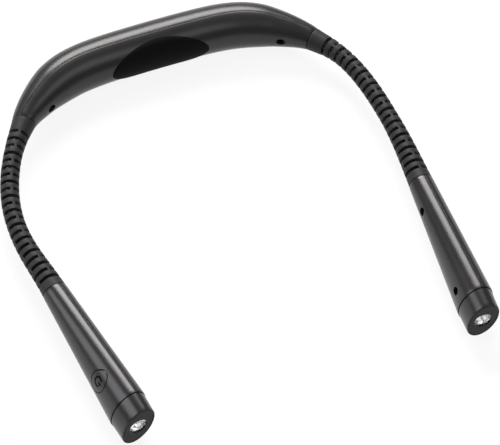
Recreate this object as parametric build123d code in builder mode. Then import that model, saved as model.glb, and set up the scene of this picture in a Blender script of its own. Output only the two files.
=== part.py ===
from build123d import *
import math
import os

os.makedirs("parts", exist_ok=True)

# One overrun serves every cut that runs past a face
overrun = 2.0
# Clearances: a close fit and a loose fit
close_fit = 0.05
loose_fit = 0.15

# Hidden round pieces and holes are drawn with this many flats, pins inside their circle and holes round it
round_sides = 12

# Place of the band's middle, measured from the point on the table below the middle of the whole light
band_middle_x = 3.25
band_back_y = 106.33
band_middle_z = 12.617

# Neck band: full and nearly straight in the middle, slim and turned forwards at the mouths
band_half_run = 88.3
band_thickness = 25.2
band_mouth = 12.6
band_end_angle = 55.0
band_run_shares = (0.0, 0.26, 0.4, 0.5, 0.59, 0.68, 0.77, 0.86, 0.93, 1.0)
band_turn_shares = (0.0, 0.035, 0.11, 0.23, 0.385, 0.54, 0.66, 0.735, 0.82, 1.0)
band_slim_shares = (0.0, 0.0, 0.0, 0.02, 0.07, 0.19, 0.41, 0.635, 0.825, 1.0)
band_sides = 24
band_wall = 2.2
band_mouth_wall_run = 10.0
cavity_sides = 12

# The shells part a little inside the crest at the middle and a little outside it at the mouths
parting_middle_share = -0.075
parting_end_share = 0.05

# Neck pad, an oval let into the inner shell and standing slightly proud
pad_length = 54.6
pad_height = 22.6
pad_proud = 0.5
pad_recess = 0.8
pad_sides = 32
pad_reach_share = 0.4

# Self-tapping screws
screw_head_radius = 1.95
screw_head_height = 1.6
screw_shank_radius = 1.1
screw_slot_width = 0.6
screw_slot_length = 2.2
screw_slot_depth = 0.8
access_radius = 2.15
boss_radius = 2.9
boss_floor = 1.2
band_screw_x = 63.7
band_screw_setback = 22.9
band_screw_depth = 5.0
band_screw_length = 12.5
band_boss_radius = 3.2

# Battery cell in two cradle ribs
cell_radius = 9.2
cell_length = 65.0
cell_sides = 24
cell_nub_radius = 3.0
cell_nub_height = 1.0
cradle_x = 22.0
cradle_thickness = 2.4

# Charging board on two posts of the outer shell, with its socket under the band
board_thickness = 1.2
charge_board_length = 17.0
charge_board_height = 13.0
charge_board_run = 45.0
charge_board_offset = 3.2
charge_board_lift = 1.5
post_size = 2.4
post_spacing = 11.0
socket_width = 9.0
socket_depth = 3.2
socket_height = 7.3
socket_mouth_inset = 0.6
socket_slot_depth = 1.9

# Flexible sheath: slots cut crosswise in pairs, each pair a quarter turn from the last
slot_pitch = 4.64
slot_gap = 1.5
slot_count = 22
rings_per_link = 3
sheath_lead = 9.8
sheath_tail = 6.3
sheath_radius = 4.8
sheath_sides = 16
sheath_bore = 2.9
bore_sides = 8
bridge_radius = 0.68
bridge_root = 0.5
bridge_inset = 0.1
hinge_fit = 0.06
rear_collar_radius = 6.2
front_collar_radius = 6.3
rear_flare_run = 26.0
front_flare_run = 47.5
rear_flare_power = 2.0
front_flare_power = 1.3

# The sheath's ends plug into the housings and are held there by a flange
plug_radius = 3.6
plug_length = 8.0
flange_radius = 4.5
flange_thickness = 1.5
tip_flange_radius = 4.2

# Gooseneck core inside the sheath
core_radius = 2.3
core_stub = 1.5

# How the arms lie: total bend, how it is shared out at even places along the slots, droop and roll
bend_place_shares = (0.0, 0.25, 0.5, 0.75, 1.0)
arm_start_roll_angle = 12.0
left_bend_angle = 43.1
left_bend_shares = (0.82, 0.72, 1.0, 0.75, -0.44)
left_droop_angle = 0.1
left_end_roll_angle = 24.4
right_bend_angle = 38.55
right_bend_shares = (1.0, 0.39, 0.135, 0.175, -0.035)
right_droop_angle = 0.0
right_end_roll_angle = -14.0

# Lamp tube: nearly round at the sheath, oval at the cap
tube_length = 77.5
tube_start_width = 13.0
tube_start_thickness = 12.8
tube_end_width = 25.6
tube_end_thickness = 17.3
tube_sides = 32
tube_wall = 1.8
tube_cavity_sides = 16
tube_mouth_run = 6.0
tube_screw_lead = 16.5
tube_screw_setback = 10.5
tube_screw_seat = 2.6
tube_screw_length = 5.8

# Lamp cap, a small step inside the tube, with a spigot into it
cap_length = 10.9
cap_step = 0.4
cap_end_width = 24.4
cap_end_thickness = 15.7
cap_face_wall = 1.6
cap_rim = 0.4
spigot_length = 5.0
spigot_wall = 1.2

# Optics behind the cap's face
lens_radius = 4.45
lens_sides = 24
lens_flange_radius = 5.2
lens_flange_thickness = 0.9
lens_inset = 0.5
reflector_length = 6.0
reflector_throat = 2.1
reflector_wall = 0.6
led_radius = 1.6
led_base = 0.5

# Lead in each tube, from the sheath's plug to the lamp board
lead_radius = 0.7
lead_offset = -4.0

# Power button, an egg outline with its wide end towards the band
button_setback = 17.3
button_aside = 2.9
button_wide_radius = 5.3
button_narrow_radius = 3.4
button_spacing = 2.0
button_wide_flats = 14
button_narrow_flats = 8
button_gap = 0.2
button_lip = 0.7
button_lip_top = 4.3
button_lip_thickness = 0.9
button_stem_radius = 1.6
button_stem_end = 1.7
button_proud = 0.15
switch_top = 0.9
switch_size = 6.0
switch_height = 3.2
switch_plunger_radius = 1.5
switch_plunger_height = 0.8
switch_board_length = 13.0
switch_board_width = 6.4
switch_board_setback = 3.2

# Values that follow from the sizes above
sheath_run = sheath_lead + (slot_count - 1) * slot_pitch + sheath_tail
ring_count = slot_count - 1
link_count = ring_count // rings_per_link
tube_screw_runs = (tube_screw_lead, tube_length - tube_screw_setback)
button_place = tube_length - button_setback
switch_board_place = button_place - switch_board_setback


def put(solid, name):
    # A finished piece is labelled and written under its own name
    solid.label = name
    export_step(solid, "parts/" + name + ".step")


def flat_oval(half_width, half_height, sides):
    # Corners of a flat-sided oval whose sides keep their directions whatever its size
    step = 2 * math.pi / sides
    corners = []
    for index in range(sides):
        low, high = index * step, (index + 1) * step
        low_reach = math.hypot(half_width * math.cos(low), half_height * math.sin(low))
        high_reach = math.hypot(half_width * math.cos(high), half_height * math.sin(high))
        x = (low_reach * math.sin(high) - high_reach * math.sin(low)) / math.sin(step)
        y = (high_reach * math.cos(low) - low_reach * math.cos(high)) / math.sin(step)
        corners.append((x, y))
    return corners


def flat_sided(low_plane, low_corners, high_plane, high_corners):
    # Solid between two outlines whose sides keep their directions, so that every side is one flat
    low = [low_plane.from_local_coords(corner) for corner in low_corners]
    high = [high_plane.from_local_coords(corner) for corner in high_corners]
    faces = [Face(Wire.make_polygon(low)), Face(Wire.make_polygon(high))]
    for index in range(len(low)):
        ahead = (index + 1) % len(low)
        faces.append(Face(Wire.make_polygon([low[index], low[ahead], high[ahead], high[index]])))
    return Solid(Shell(faces))


def table_value(place, places, values):
    # Value at a place between two entries of a short table
    for low in range(len(places) - 1):
        if place <= places[low + 1]:
            break
    part = (place - places[low]) / (places[low + 1] - places[low])
    return values[low] + part * (values[low + 1] - values[low])


def band_plane(run):
    # Section plane of the band at a distance along it from the middle, x outwards and y up
    side = -1 if run < 0 else 1
    reach = abs(run)
    x, y = 0, 0
    for low in range(len(band_run_shares) - 1):
        start, end = (band_half_run * share for share in band_run_shares[low : low + 2])
        first, last = (math.radians(band_end_angle * share) for share in band_turn_shares[low : low + 2])
        span = min(reach, end) - start
        x += span * math.cos((first + last) / 2)
        y -= span * math.sin((first + last) / 2)
        turn = first + (last - first) * span / (end - start)
        if reach <= end:
            break
    origin = Vector(band_middle_x + side * x, band_back_y + y, band_middle_z)
    outwards = Vector(side * math.sin(turn), math.cos(turn), 0)
    along = Vector(math.cos(turn), -side * math.sin(turn), 0)
    return Plane(origin=origin, x_dir=outwards, z_dir=along)


def band_solid(inset, reach, sides):
    # The band's form as far as a reach each way from its middle, drawn in by an inset all round
    runs = [share * band_half_run for share in band_run_shares if share * band_half_run < reach] + [reach]
    with BuildPart() as piece:
        for run in [-run for run in reversed(runs)] + runs[1:]:
            slim = table_value(abs(run) / band_half_run, band_run_shares, band_slim_shares)
            radius = (band_thickness - slim * (band_thickness - band_mouth)) / 2 - inset
            with BuildSketch(band_plane(run)):
                Polygon(*flat_oval(radius, radius, sides))
        loft(ruled=True)
    return piece.part


def screw(plane, head_seat, length):
    # Pan head outside the seat, shank beyond it, a cross cut in the head; the plane's z points at the tip
    with BuildPart() as piece:
        with BuildSketch(plane.offset(head_seat - screw_head_height)):
            RegularPolygon(screw_head_radius, round_sides)
        extrude(amount=screw_head_height)
        with BuildSketch(plane.offset(head_seat)):
            RegularPolygon(screw_shank_radius, round_sides)
        extrude(amount=length)
        with BuildSketch(plane.offset(head_seat - screw_head_height)):
            Rectangle(screw_slot_length, screw_slot_width)
            Rectangle(screw_slot_width, screw_slot_length)
        extrude(amount=screw_slot_depth, mode=Mode.SUBTRACT)
    return piece.part


def screw_way(plane, head_seat, length):
    # The access hole down to the seat, and the hole for the shank beyond it
    with BuildPart() as way:
        with BuildSketch(plane.offset(-overrun)):
            Circle(access_radius)
        extrude(amount=head_seat + overrun)
        with BuildSketch(plane.offset(head_seat)):
            RegularPolygon(screw_shank_radius + close_fit, round_sides, major_radius=False)
        extrude(amount=length + close_fit)
    return way.part


# Screw places on the band: straight back from the inner side, one near each mouth
band_screw_planes = []
for side in (-1, 1):
    start = Vector(band_middle_x + side * band_screw_x, band_back_y - band_screw_setback, band_middle_z)
    band_screw_planes.append(Plane(origin=start, x_dir=(1, 0, 0), z_dir=(0, 1, 0)))

# Plan of the part of the band behind the parting line
with BuildPart() as behind_parting:
    with BuildSketch(Plane.XY.offset(band_middle_z)) as plan:
        with BuildLine():
            points = []
            for share in band_run_shares:
                offset_share = parting_middle_share + (parting_end_share - parting_middle_share) * share ** 2
                place = band_plane(share * band_half_run)
                points.append(place.origin + place.x_dir * (band_thickness * offset_share))
            left_points = [Vector(2 * band_middle_x - p.X, p.Y, p.Z) for p in reversed(points[1:])]
            mouth = band_plane(band_half_run)
            right_end = points[-1] + mouth.z_dir * overrun
            left_end = Vector(2 * band_middle_x - right_end.X, right_end.Y, right_end.Z)
            crest = Polyline(left_points + points)
            far_right = Vector(right_end.X + band_thickness, right_end.Y, right_end.Z)
            far_left = Vector(left_end.X - band_thickness, left_end.Y, left_end.Z)
            back = Vector(0, band_back_y + band_thickness, band_middle_z)
            Polyline(
                crest @ 1,
                right_end,
                far_right,
                Vector(far_right.X, back.Y, back.Z),
                Vector(far_left.X, back.Y, back.Z),
                far_left,
                left_end,
                crest @ 0,
            )
        make_face()
    extrude(amount=band_thickness, both=True)

# Everything the two band shells leave open inside: cavity, mouths, screw ways and the battery's bed
with BuildPart() as band_hollow:
    add(band_solid(band_wall, band_half_run - band_mouth_wall_run, cavity_sides))
    for place in band_screw_planes:
        with BuildSketch(place.offset(-band_thickness)):
            RegularPolygon(band_boss_radius, round_sides)
        extrude(amount=3 * band_thickness, mode=Mode.SUBTRACT)
    for side in (-1, 1):
        with BuildSketch(Plane.YZ.offset(band_middle_x + side * cradle_x)):
            with Locations((band_back_y, band_middle_z)):
                Rectangle(2 * band_thickness, 2 * band_thickness)
        extrude(amount=cradle_thickness / 2, both=True, mode=Mode.SUBTRACT)
    board_plane = band_plane(charge_board_run)
    with BuildSketch(board_plane):
        with Locations((charge_board_offset + board_thickness + band_thickness / 2, charge_board_lift)):
            Rectangle(band_thickness, post_size)
    extrude(amount=post_spacing / 2 + post_size / 2, both=True, mode=Mode.SUBTRACT)
    with BuildSketch(board_plane):
        with Locations((charge_board_offset + board_thickness + band_thickness / 2, charge_board_lift)):
            Rectangle(band_thickness, post_size)
    extrude(amount=post_spacing / 2 - post_size / 2, both=True)
    with BuildSketch(Plane.YZ.offset(band_middle_x)):
        with Locations((band_back_y, band_middle_z)):
            RegularPolygon(cell_radius + loose_fit, cell_sides, major_radius=False)
    extrude(amount=cell_length / 2 + cell_nub_height + loose_fit, both=True)
    for side in (-1, 1):
        mouth = band_plane(side * band_half_run)
        with BuildSketch(mouth.offset(side * overrun)):
            RegularPolygon(plug_radius + close_fit, round_sides, major_radius=False)
        extrude(amount=-side * (band_mouth_wall_run + 2 * overrun))
        with BuildSketch(mouth.offset(-side * (plug_length + flange_thickness + loose_fit))):
            RegularPolygon(flange_radius + loose_fit, round_sides, major_radius=False)
        extrude(amount=side * (flange_thickness + 2 * loose_fit))

# Screw ways reach from the inner side through the inner shell and into the outer one
with BuildPart() as band_screw_ways:
    for place in band_screw_planes:
        add(screw_way(place, band_screw_depth, band_screw_length))

# The charging socket's slot under the band
socket_plane = Plane(origin=board_plane.origin, x_dir=board_plane.z_dir, z_dir=(0, 0, -1))
socket_middle = charge_board_offset - socket_depth / 2
with BuildPart() as socket_slot:
    with BuildSketch(socket_plane):
        with Locations((0, -socket_middle)):
            SlotOverall(socket_width + 2 * loose_fit, socket_depth + 2 * loose_fit)
    extrude(amount=band_thickness)

with BuildPart() as band_body:
    add(band_solid(0, band_half_run, band_sides))
    add(band_hollow.part, mode=Mode.SUBTRACT)
    add(band_screw_ways.part, mode=Mode.SUBTRACT)
    add(socket_slot.part, mode=Mode.SUBTRACT)

# Outer shell: the back half of the band
with BuildPart() as band_outer_shell:
    add(band_body.part)
    add(behind_parting.part, mode=Mode.INTERSECT)
put(band_outer_shell.part, "band_outer_shell")

# Oval prism that marks out the pad on the inner side
def pad_prism(margin):
    front = Plane(origin=(band_middle_x, band_back_y, band_middle_z), x_dir=(1, 0, 0), z_dir=(0, -1, 0))
    with BuildPart() as prism:
        with BuildSketch(front):
            Polygon(*flat_oval(pad_length / 2 + margin, pad_height / 2 + margin, pad_sides))
        extrude(amount=band_thickness)
    return prism.part


# Inner shell: the neck side, with the pad's shallow recess
pad_reach = pad_reach_share * band_half_run
with BuildPart() as pad_room:
    add(pad_prism(close_fit))
    add(band_solid(pad_recess, pad_reach, band_sides), mode=Mode.SUBTRACT)

with BuildPart() as band_inner_shell:
    add(band_body.part)
    add(behind_parting.part, mode=Mode.SUBTRACT)
    add(pad_room.part, mode=Mode.SUBTRACT)
put(band_inner_shell.part, "band_inner_shell")

# Soft oval pad in that recess
with BuildPart() as neck_pad:
    add(band_solid(-pad_proud, pad_reach, band_sides))
    add(pad_prism(0), mode=Mode.INTERSECT)
    add(band_solid(pad_recess, pad_reach, band_sides), mode=Mode.SUBTRACT)
put(neck_pad.part, "neck_pad")

with BuildPart() as band_screws:
    for place in band_screw_planes:
        add(screw(place, band_screw_depth, band_screw_length))
put(band_screws.part, "band_screws")

# Round battery cell with its raised contact
with BuildPart() as battery_cell:
    with BuildSketch(Plane.YZ.offset(band_middle_x)):
        with Locations((band_back_y, band_middle_z)):
            RegularPolygon(cell_radius, cell_sides)
    extrude(amount=cell_length / 2, both=True)
    with BuildSketch(Plane.YZ.offset(band_middle_x + cell_length / 2)):
        with Locations((band_back_y, band_middle_z)):
            RegularPolygon(cell_nub_radius, round_sides)
    extrude(amount=cell_nub_height)
put(battery_cell.part, "battery_cell")

# Charging board, upright against its posts
with BuildPart() as charge_board:
    with BuildSketch(board_plane):
        with Locations((charge_board_offset + board_thickness / 2, charge_board_lift)):
            Rectangle(board_thickness, charge_board_height)
    extrude(amount=charge_board_length / 2, both=True)
put(charge_board.part, "charge_board")

# Charging socket: a rounded metal shell with its tongue, mouth down
socket_floor = band_thickness / 2 - socket_mouth_inset - socket_height
with BuildPart() as charge_socket:
    with BuildSketch(socket_plane.offset(socket_floor)):
        with Locations((0, -socket_middle)):
            SlotOverall(socket_width, socket_depth)
    extrude(amount=socket_height - socket_mouth_inset)
    with BuildSketch(socket_plane.offset(socket_floor + socket_mouth_inset + socket_slot_depth)):
        with Locations((0, -socket_middle)):
            SlotOverall(socket_width - socket_mouth_inset, socket_depth - socket_mouth_inset)
    extrude(amount=socket_height, mode=Mode.SUBTRACT)
    with BuildSketch(socket_plane.offset(socket_floor)):
        with Locations((0, -socket_middle)):
            Rectangle(socket_width - 2 * socket_depth / 2, socket_mouth_inset)
    extrude(amount=socket_height - 2 * socket_mouth_inset)
put(charge_socket.part, "charge_socket")


def arm_frame(side, point, heading, slope, roll):
    # Plane square to an arm: z along it, x outwards and lifted by the roll
    flat, tilt, lift = math.radians(heading), math.radians(slope), math.radians(roll)
    along = Vector(
        side * math.cos(flat) * math.cos(tilt),
        -math.sin(flat) * math.cos(tilt),
        -math.sin(tilt),
    )
    outwards = Vector(side * math.sin(flat), math.cos(flat), 0)
    up = along.cross(outwards) * side
    return Plane(origin=point, x_dir=outwards * math.cos(lift) + up * math.sin(lift), z_dir=along)


def arm_layout(side, bend, bend_shares, droop, end_roll):
    # Frames of one arm: the collar, then at every slot the frames halfway through and after its bend
    point = band_plane(side * band_half_run).origin
    start = arm_frame(side, point, band_end_angle, 0, arm_start_roll_angle)
    point = point + start.z_dir * sheath_lead
    heading = band_end_angle
    slope = 0
    places = [index / (slot_count - 1) for index in range(slot_count)]
    weights = [table_value(place, bend_place_shares, bend_shares) for place in places]
    halfway, after = [], []
    for index in range(slot_count):
        turn = bend * weights[index] / sum(weights)
        roll = arm_start_roll_angle + (end_roll - arm_start_roll_angle) * places[index]
        halfway.append(arm_frame(side, point, heading + turn / 2, (slope + droop) / 2, roll))
        heading += turn
        slope = droop
        after.append(arm_frame(side, point, heading, slope, roll))
        point = point + after[-1].z_dir * (slot_pitch if index < slot_count - 1 else sheath_tail)
    lamp = after[-1]
    return start, halfway, after, Plane(origin=point, x_dir=lamp.x_dir, z_dir=lamp.z_dir)


def sheath_size(run):
    # Outer radius of the sheath at a distance from the band's mouth
    rear = max(1 - run / rear_flare_run, 0) ** rear_flare_power
    front = max(1 - (sheath_run - run) / front_flare_run, 0) ** front_flare_power
    return sheath_radius + (rear_collar_radius - sheath_radius) * rear + (front_collar_radius - sheath_radius) * front


def bridge_line(frame, side, index):
    # Bridges lie at the arm's sides at every other slot and above and below it at the rest
    at_sides = index % 2 == (0 if side > 0 else 1)
    return frame.x_dir if at_sides else frame.y_dir


def bridges(frame, line, radius, reach_back, reach_on):
    # A pair of bars across a slot, on opposite sides of the bore
    outer = radius - bridge_inset
    with BuildPart() as pair:
        with BuildSketch(Plane(origin=frame.origin - frame.z_dir * reach_back, x_dir=line, z_dir=frame.z_dir)):
            with PolarLocations((outer + sheath_bore) / 2, 2):
                Rectangle(outer - sheath_bore, 2 * bridge_radius)
        extrude(amount=reach_back + reach_on)
    return pair.part


def hinge_pins(frame, line, radius, start, end, is_seat):
    # Round pins along the hinge line on opposite sides of the bore, or the room for them
    with BuildPart() as pair:
        for way in (-1, 1):
            with BuildSketch(Plane(origin=frame.origin, x_dir=frame.z_dir, z_dir=line * way).offset(start)):
                RegularPolygon(radius, round_sides, major_radius=not is_seat)
            extrude(amount=end - start)
    return pair.part


def ring(frame, start, end, radius):
    # One ring of the sheath with its bore
    with BuildPart() as piece:
        with BuildSketch(frame.offset(start)):
            Polygon(*flat_oval(radius, radius, sheath_sides))
            Polygon(*flat_oval(sheath_bore, sheath_bore, bore_sides), mode=Mode.SUBTRACT)
        extrude(amount=end - start)
    return piece.part


def tapered_ring(frame, start, end, start_radius, end_radius):
    # A collar that changes its size along the bore
    with BuildPart() as piece:
        start_outline = flat_oval(start_radius, start_radius, sheath_sides)
        end_outline = flat_oval(end_radius, end_radius, sheath_sides)
        add(flat_sided(frame.offset(start), start_outline, frame.offset(end), end_outline))
        with BuildSketch(frame.offset(start)):
            Polygon(*flat_oval(sheath_bore, sheath_bore, bore_sides))
        extrude(amount=end - start, mode=Mode.SUBTRACT)
    return piece.part


def plug(frame, start, end, flange_start, flange_end, flange):
    # A flanged plug that grips the core
    with BuildPart() as piece:
        with BuildSketch(frame.offset(start)):
            RegularPolygon(plug_radius, round_sides)
        extrude(amount=end - start)
        with BuildSketch(frame.offset(flange_start)):
            RegularPolygon(flange, round_sides)
        extrude(amount=flange_end - flange_start)
        with BuildSketch(frame.offset(min(start, flange_start))):
            RegularPolygon(core_radius + close_fit, round_sides, major_radius=False)
        extrude(amount=max(end, flange_end) - min(start, flange_start), mode=Mode.SUBTRACT)
    return piece.part


def seats(halfway, side, index):
    # Troughs in which the bridges before a bending slot turn
    line = bridge_line(halfway[index], side, index)
    return hinge_pins(halfway[index], line, bridge_radius + hinge_fit, 0, rear_collar_radius + overrun, True)


def flex_root(name, start, halfway, side):
    # Rear collar of the sheath: a tapered sleeve, a plug into the band and the first bridges
    edge = sheath_lead - slot_gap / 2
    radius = sheath_size(edge)
    with BuildPart() as piece:
        add(tapered_ring(start, 0, edge, rear_collar_radius, radius))
        add(plug(start, -plug_length, 0, -plug_length - flange_thickness, -plug_length, flange_radius))
        line = bridge_line(halfway[0], side, 0)
        add(bridges(halfway[0], line, radius, slot_gap / 2 + bridge_root, 0))
        add(hinge_pins(halfway[0], line, bridge_radius, sheath_bore, radius - bridge_inset, False))
    put(piece.part, name)


def flex_link(name, halfway, after, side, first):
    # Three rings on their bridges; the rear ring is seated on the hinge before, the front one carries the next
    with BuildPart() as piece:
        for index in range(first, first + rings_per_link):
            middle = sheath_lead + (index + 0.5) * slot_pitch
            add(ring(after[index], slot_gap / 2, slot_pitch - slot_gap / 2, sheath_size(middle)))
        add(seats(halfway, side, first), mode=Mode.SUBTRACT)
        for index in range(first + 1, first + rings_per_link + 1):
            line = bridge_line(halfway[index], side, index)
            radius = min(sheath_size(sheath_lead + (index + way) * slot_pitch) for way in (-0.5, 0.5))
            reach = slot_gap / 2 + bridge_root
            last = index == first + rings_per_link
            add(bridges(halfway[index], line, radius, reach, 0 if last else reach))
        add(hinge_pins(halfway[index], line, bridge_radius, sheath_bore, radius - bridge_inset, False))
    put(piece.part, name)


def flex_tip(name, halfway, after, side):
    # Front collar of the sheath: from the last bending slot to the plug inside the lamp tube
    frame = after[-1]
    seam = sheath_tail
    flange_start = seam + tube_mouth_run + loose_fit
    edge_radius = sheath_size(sheath_run - sheath_tail + slot_gap / 2)
    with BuildPart() as piece:
        add(tapered_ring(frame, slot_gap / 2, seam, edge_radius, front_collar_radius))
        add(plug(frame, seam, flange_start, flange_start, flange_start + flange_thickness, tip_flange_radius))
        add(seats(halfway, side, slot_count - 1), mode=Mode.SUBTRACT)
    put(piece.part, name)


def gooseneck_core(name, start, after, lamp):
    # Bendable core from inside the band's plug to inside the tube's plug, straight between bending slots
    stations = [start.origin - start.z_dir * (plug_length + flange_thickness + core_stub)]
    stations += [after[index].origin for index in range(0, slot_count, rings_per_link)]
    stations += [lamp.origin + lamp.z_dir * (tube_mouth_run + flange_thickness + core_stub)]
    with BuildPart() as piece:
        with BuildLine() as route:
            Polyline(stations)
        with BuildSketch(Plane(origin=stations[0], x_dir=start.x_dir, z_dir=start.z_dir)):
            RegularPolygon(core_radius, round_sides)
        sweep(path=route.line, transition=Transition.RIGHT)
    put(piece.part, name)


def tube_oval(run, inset):
    # Half width and half thickness of the tube at a distance from its small end
    share = run / tube_length
    width = tube_start_width + share * (tube_end_width - tube_start_width)
    thickness = tube_start_thickness + share * (tube_end_thickness - tube_start_thickness)
    return width / 2 - inset, thickness / 2 - inset


def tube_solid(lamp, start, end, inset, sides):
    # A stretch of the tube's tapered form, drawn in by an inset all round
    low, high = (flat_oval(*tube_oval(run, inset), sides) for run in (start, end))
    return flat_sided(lamp.offset(start), low, lamp.offset(end), high)


def button_outline(grow):
    # Corners of the button's egg outline, its two round ends drawn in short flats
    lean = math.acos((button_wide_radius - button_narrow_radius) / (button_spacing + button_spacing / 2))
    corners = []
    ends = ((button_place + button_spacing, button_narrow_radius, -lean, lean, button_narrow_flats),)
    ends += ((button_place - button_spacing / 2, button_wide_radius, lean, 2 * math.pi - lean, button_wide_flats),)
    for middle, radius, first, last, flats in ends:
        for index in range(flats + 1):
            turn = first + (last - first) * index / flats
            along = middle + (radius + grow) * math.cos(turn)
            corners.append((along, button_aside + (radius + grow) * math.sin(turn)))
    return corners


def make_lamp(side_name, lamp, has_button):
    # Lamp frame: z along the tube to the tip, y towards the outer shell, x across the oval
    parting = Plane(origin=lamp.origin, x_dir=lamp.z_dir, z_dir=lamp.y_dir)
    screw_planes = []
    for run in tube_screw_runs:
        foot = lamp.origin + lamp.z_dir * run - lamp.y_dir * tube_oval(run, 0)[1]
        screw_planes.append((Plane(origin=foot, x_dir=lamp.z_dir, z_dir=lamp.y_dir), tube_oval(run, 0)[1]))

    with BuildPart() as hollow:
        add(tube_solid(lamp, tube_mouth_run, tube_length, tube_wall, tube_cavity_sides))
        for place, depth in screw_planes:
            with BuildSketch(place.offset(boss_floor)):
                RegularPolygon(boss_radius, round_sides)
            extrude(amount=2 * depth, mode=Mode.SUBTRACT)
        with BuildSketch(lamp.offset(-overrun)):
            RegularPolygon(plug_radius + close_fit, round_sides, major_radius=False)
        extrude(amount=tube_mouth_run + 2 * overrun)
        if has_button:
            for way in (-1, 1):
                post = parting.offset(-tube_end_thickness)
                with BuildSketch(post):
                    with Locations((switch_board_place + way * post_spacing / 2, button_aside)):
                        Rectangle(post_size, post_size)
                extrude(
                    amount=tube_end_thickness + switch_top - switch_height - switch_plunger_height - board_thickness,
                    mode=Mode.SUBTRACT,
                )

    with BuildPart() as body:
        add(tube_solid(lamp, 0, tube_length, 0, tube_sides))
        add(hollow.part, mode=Mode.SUBTRACT)
        for place, depth in screw_planes:
            add(screw_way(place, depth - tube_screw_seat, tube_screw_length), mode=Mode.SUBTRACT)

    # Outer shell, with the button's window where there is one
    with BuildPart() as outer_shell:
        add(body.part)
        split(bisect_by=parting, keep=Keep.TOP)
        if has_button:
            with BuildSketch(parting):
                Polygon(*button_outline(button_gap), align=None)
            extrude(amount=tube_end_thickness, mode=Mode.SUBTRACT)
    put(outer_shell.part, "tube_outer_shell_" + side_name)

    with BuildPart() as inner_shell:
        add(body.part)
        split(bisect_by=parting, keep=Keep.BOTTOM)
    put(inner_shell.part, "tube_inner_shell_" + side_name)

    with BuildPart() as screws:
        for place, depth in screw_planes:
            add(screw(place, depth - tube_screw_seat, tube_screw_length))
    put(screws.part, "tube_screws_" + side_name)

    # Cap: a tapered oval cup with a spigot, open behind and bored for the lens in front
    face_back = tube_length + cap_length - cap_face_wall
    pocket = [half - spigot_wall for half in tube_oval(tube_length - spigot_length, tube_wall + loose_fit)]
    with BuildPart() as cap:
        back = flat_oval(tube_end_width / 2 - cap_step, tube_end_thickness / 2 - cap_step, tube_sides)
        front = flat_oval(cap_end_width / 2, cap_end_thickness / 2, tube_sides)
        rim = flat_oval(cap_end_width / 2 - cap_rim, cap_end_thickness / 2 - cap_rim, tube_sides)
        front_plane = lamp.offset(tube_length + cap_length - cap_rim)
        add(flat_sided(lamp.offset(tube_length), back, front_plane, front))
        add(flat_sided(front_plane, front, lamp.offset(tube_length + cap_length), rim))
        add(tube_solid(lamp, tube_length - spigot_length, tube_length, tube_wall + loose_fit, tube_cavity_sides))
        with BuildSketch(lamp.offset(tube_length - spigot_length)):
            Polygon(*flat_oval(*pocket, tube_cavity_sides))
        extrude(amount=spigot_length + cap_length - cap_face_wall, mode=Mode.SUBTRACT)
        with BuildSketch(lamp.offset(face_back)):
            RegularPolygon(lens_radius, lens_sides, major_radius=False)
        extrude(amount=cap_face_wall, mode=Mode.SUBTRACT)
    put(cap.part, "lamp_cap_" + side_name)

    # Lens: a flanged disc, seated behind the cap's face
    flange_back = face_back - close_fit - lens_flange_thickness
    lens_front = face_back + cap_face_wall - lens_inset
    with BuildPart() as lens:
        with BuildSketch(lamp.offset(flange_back)):
            RegularPolygon(lens_flange_radius, lens_sides)
        extrude(amount=lens_flange_thickness)
        with BuildSketch(lamp.offset(flange_back)):
            RegularPolygon(lens_radius - close_fit, lens_sides)
        extrude(amount=lens_front - flange_back)
    put(lens.part, "lens_" + side_name)

    # Reflector cup between the lens and the lamp board
    cup_front = flange_back - close_fit
    cup_back = cup_front - reflector_length
    mouth, throat = lamp.offset(cup_front), lamp.offset(cup_back)
    with BuildPart() as reflector:
        for wall, mode in ((0, Mode.ADD), (reflector_wall, Mode.SUBTRACT)):
            wide = flat_oval(lens_flange_radius - wall, lens_flange_radius - wall, lens_sides)
            narrow = reflector_throat + reflector_wall - wall
            add(flat_sided(throat, flat_oval(narrow, narrow, lens_sides), mouth, wide), mode=mode)
    put(reflector.part, "reflector_" + side_name)

    # Lamp board across the pocket, with the light source in the cup's throat
    with BuildPart() as board:
        with BuildSketch(lamp.offset(cup_back - close_fit - board_thickness)):
            Polygon(*flat_oval(pocket[0] - loose_fit, pocket[1] - loose_fit, tube_cavity_sides))
        extrude(amount=board_thickness)
    put(board.part, "lamp_board_" + side_name)

    with BuildPart() as led:
        with BuildSketch(lamp.offset(cup_back - close_fit)):
            RegularPolygon(led_radius, round_sides)
        extrude(amount=led_base + led_radius)
        chamfer(led.faces().sort_by(Axis(lamp.origin, lamp.z_dir))[-1].edges(), length=led_radius / 2)
    put(led.part, "led_" + side_name)

    # Lead along the tube, beside the screw bosses
    lead_start = tube_mouth_run + loose_fit + flange_thickness
    lead_end = cup_back - close_fit - board_thickness
    with BuildPart() as lead:
        with BuildSketch(lamp.offset(lead_start)):
            with Locations((lead_offset, 0)):
                RegularPolygon(lead_radius, round_sides)
        extrude(amount=lead_end - lead_start)
    put(lead.part, "lead_" + side_name)

    if has_button:
        make_button(lamp, parting)


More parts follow.
